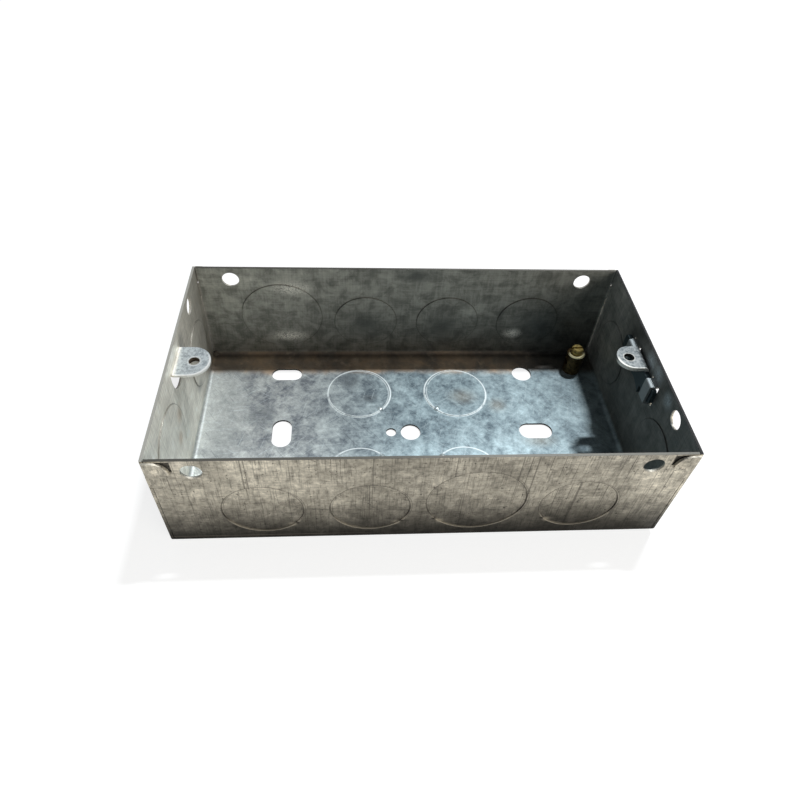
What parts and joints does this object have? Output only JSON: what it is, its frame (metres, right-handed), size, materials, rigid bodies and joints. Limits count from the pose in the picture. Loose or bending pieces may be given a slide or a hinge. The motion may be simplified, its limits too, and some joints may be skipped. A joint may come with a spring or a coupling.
{
  "type": "flush back box",
  "caption": "Galvanised steel flush-mounting box for a double wiring plate, folded from sheet, with round knockouts, a fixed and a sliding plate lug and a brass earth terminal",
  "frame": {"origin": "centre of the base's underside", "axes": "+X to the end wall with the sliding lug, +Y to the long wall beside the earth terminal, +Z out of the open mouth"},
  "size_m": [0.132, 0.0734, 0.0365],
  "materials": {
    "galvanised_sheet": "dull galvanised steel, mottled and scratched",
    "zinc_plate": "bright zinc plated steel",
    "brass_post": "turned brass",
    "brass_screw": "turned brass"
  },
  "bodies": {
    "box": {"box_shell": "galvanised_sheet", "earth_post": "brass_post"},
    "sliding_lug": {"adjustable_lug": "zinc_plate"},
    "terminal_screw": {"earth_screw": "brass_screw"}
  },
  "joints": [
    {"name": "lug_slide", "type": "slide", "parent": "box", "child": "sliding_lug", "axis": [0, 1, 0], "range_m": [-0.0026, 0.0002]},
    {"name": "screw_travel", "type": "slide", "parent": "box", "child": "terminal_screw", "axis": [0, 0, 1], "range_m": [-0.0026, 0.0015]}
  ]
}
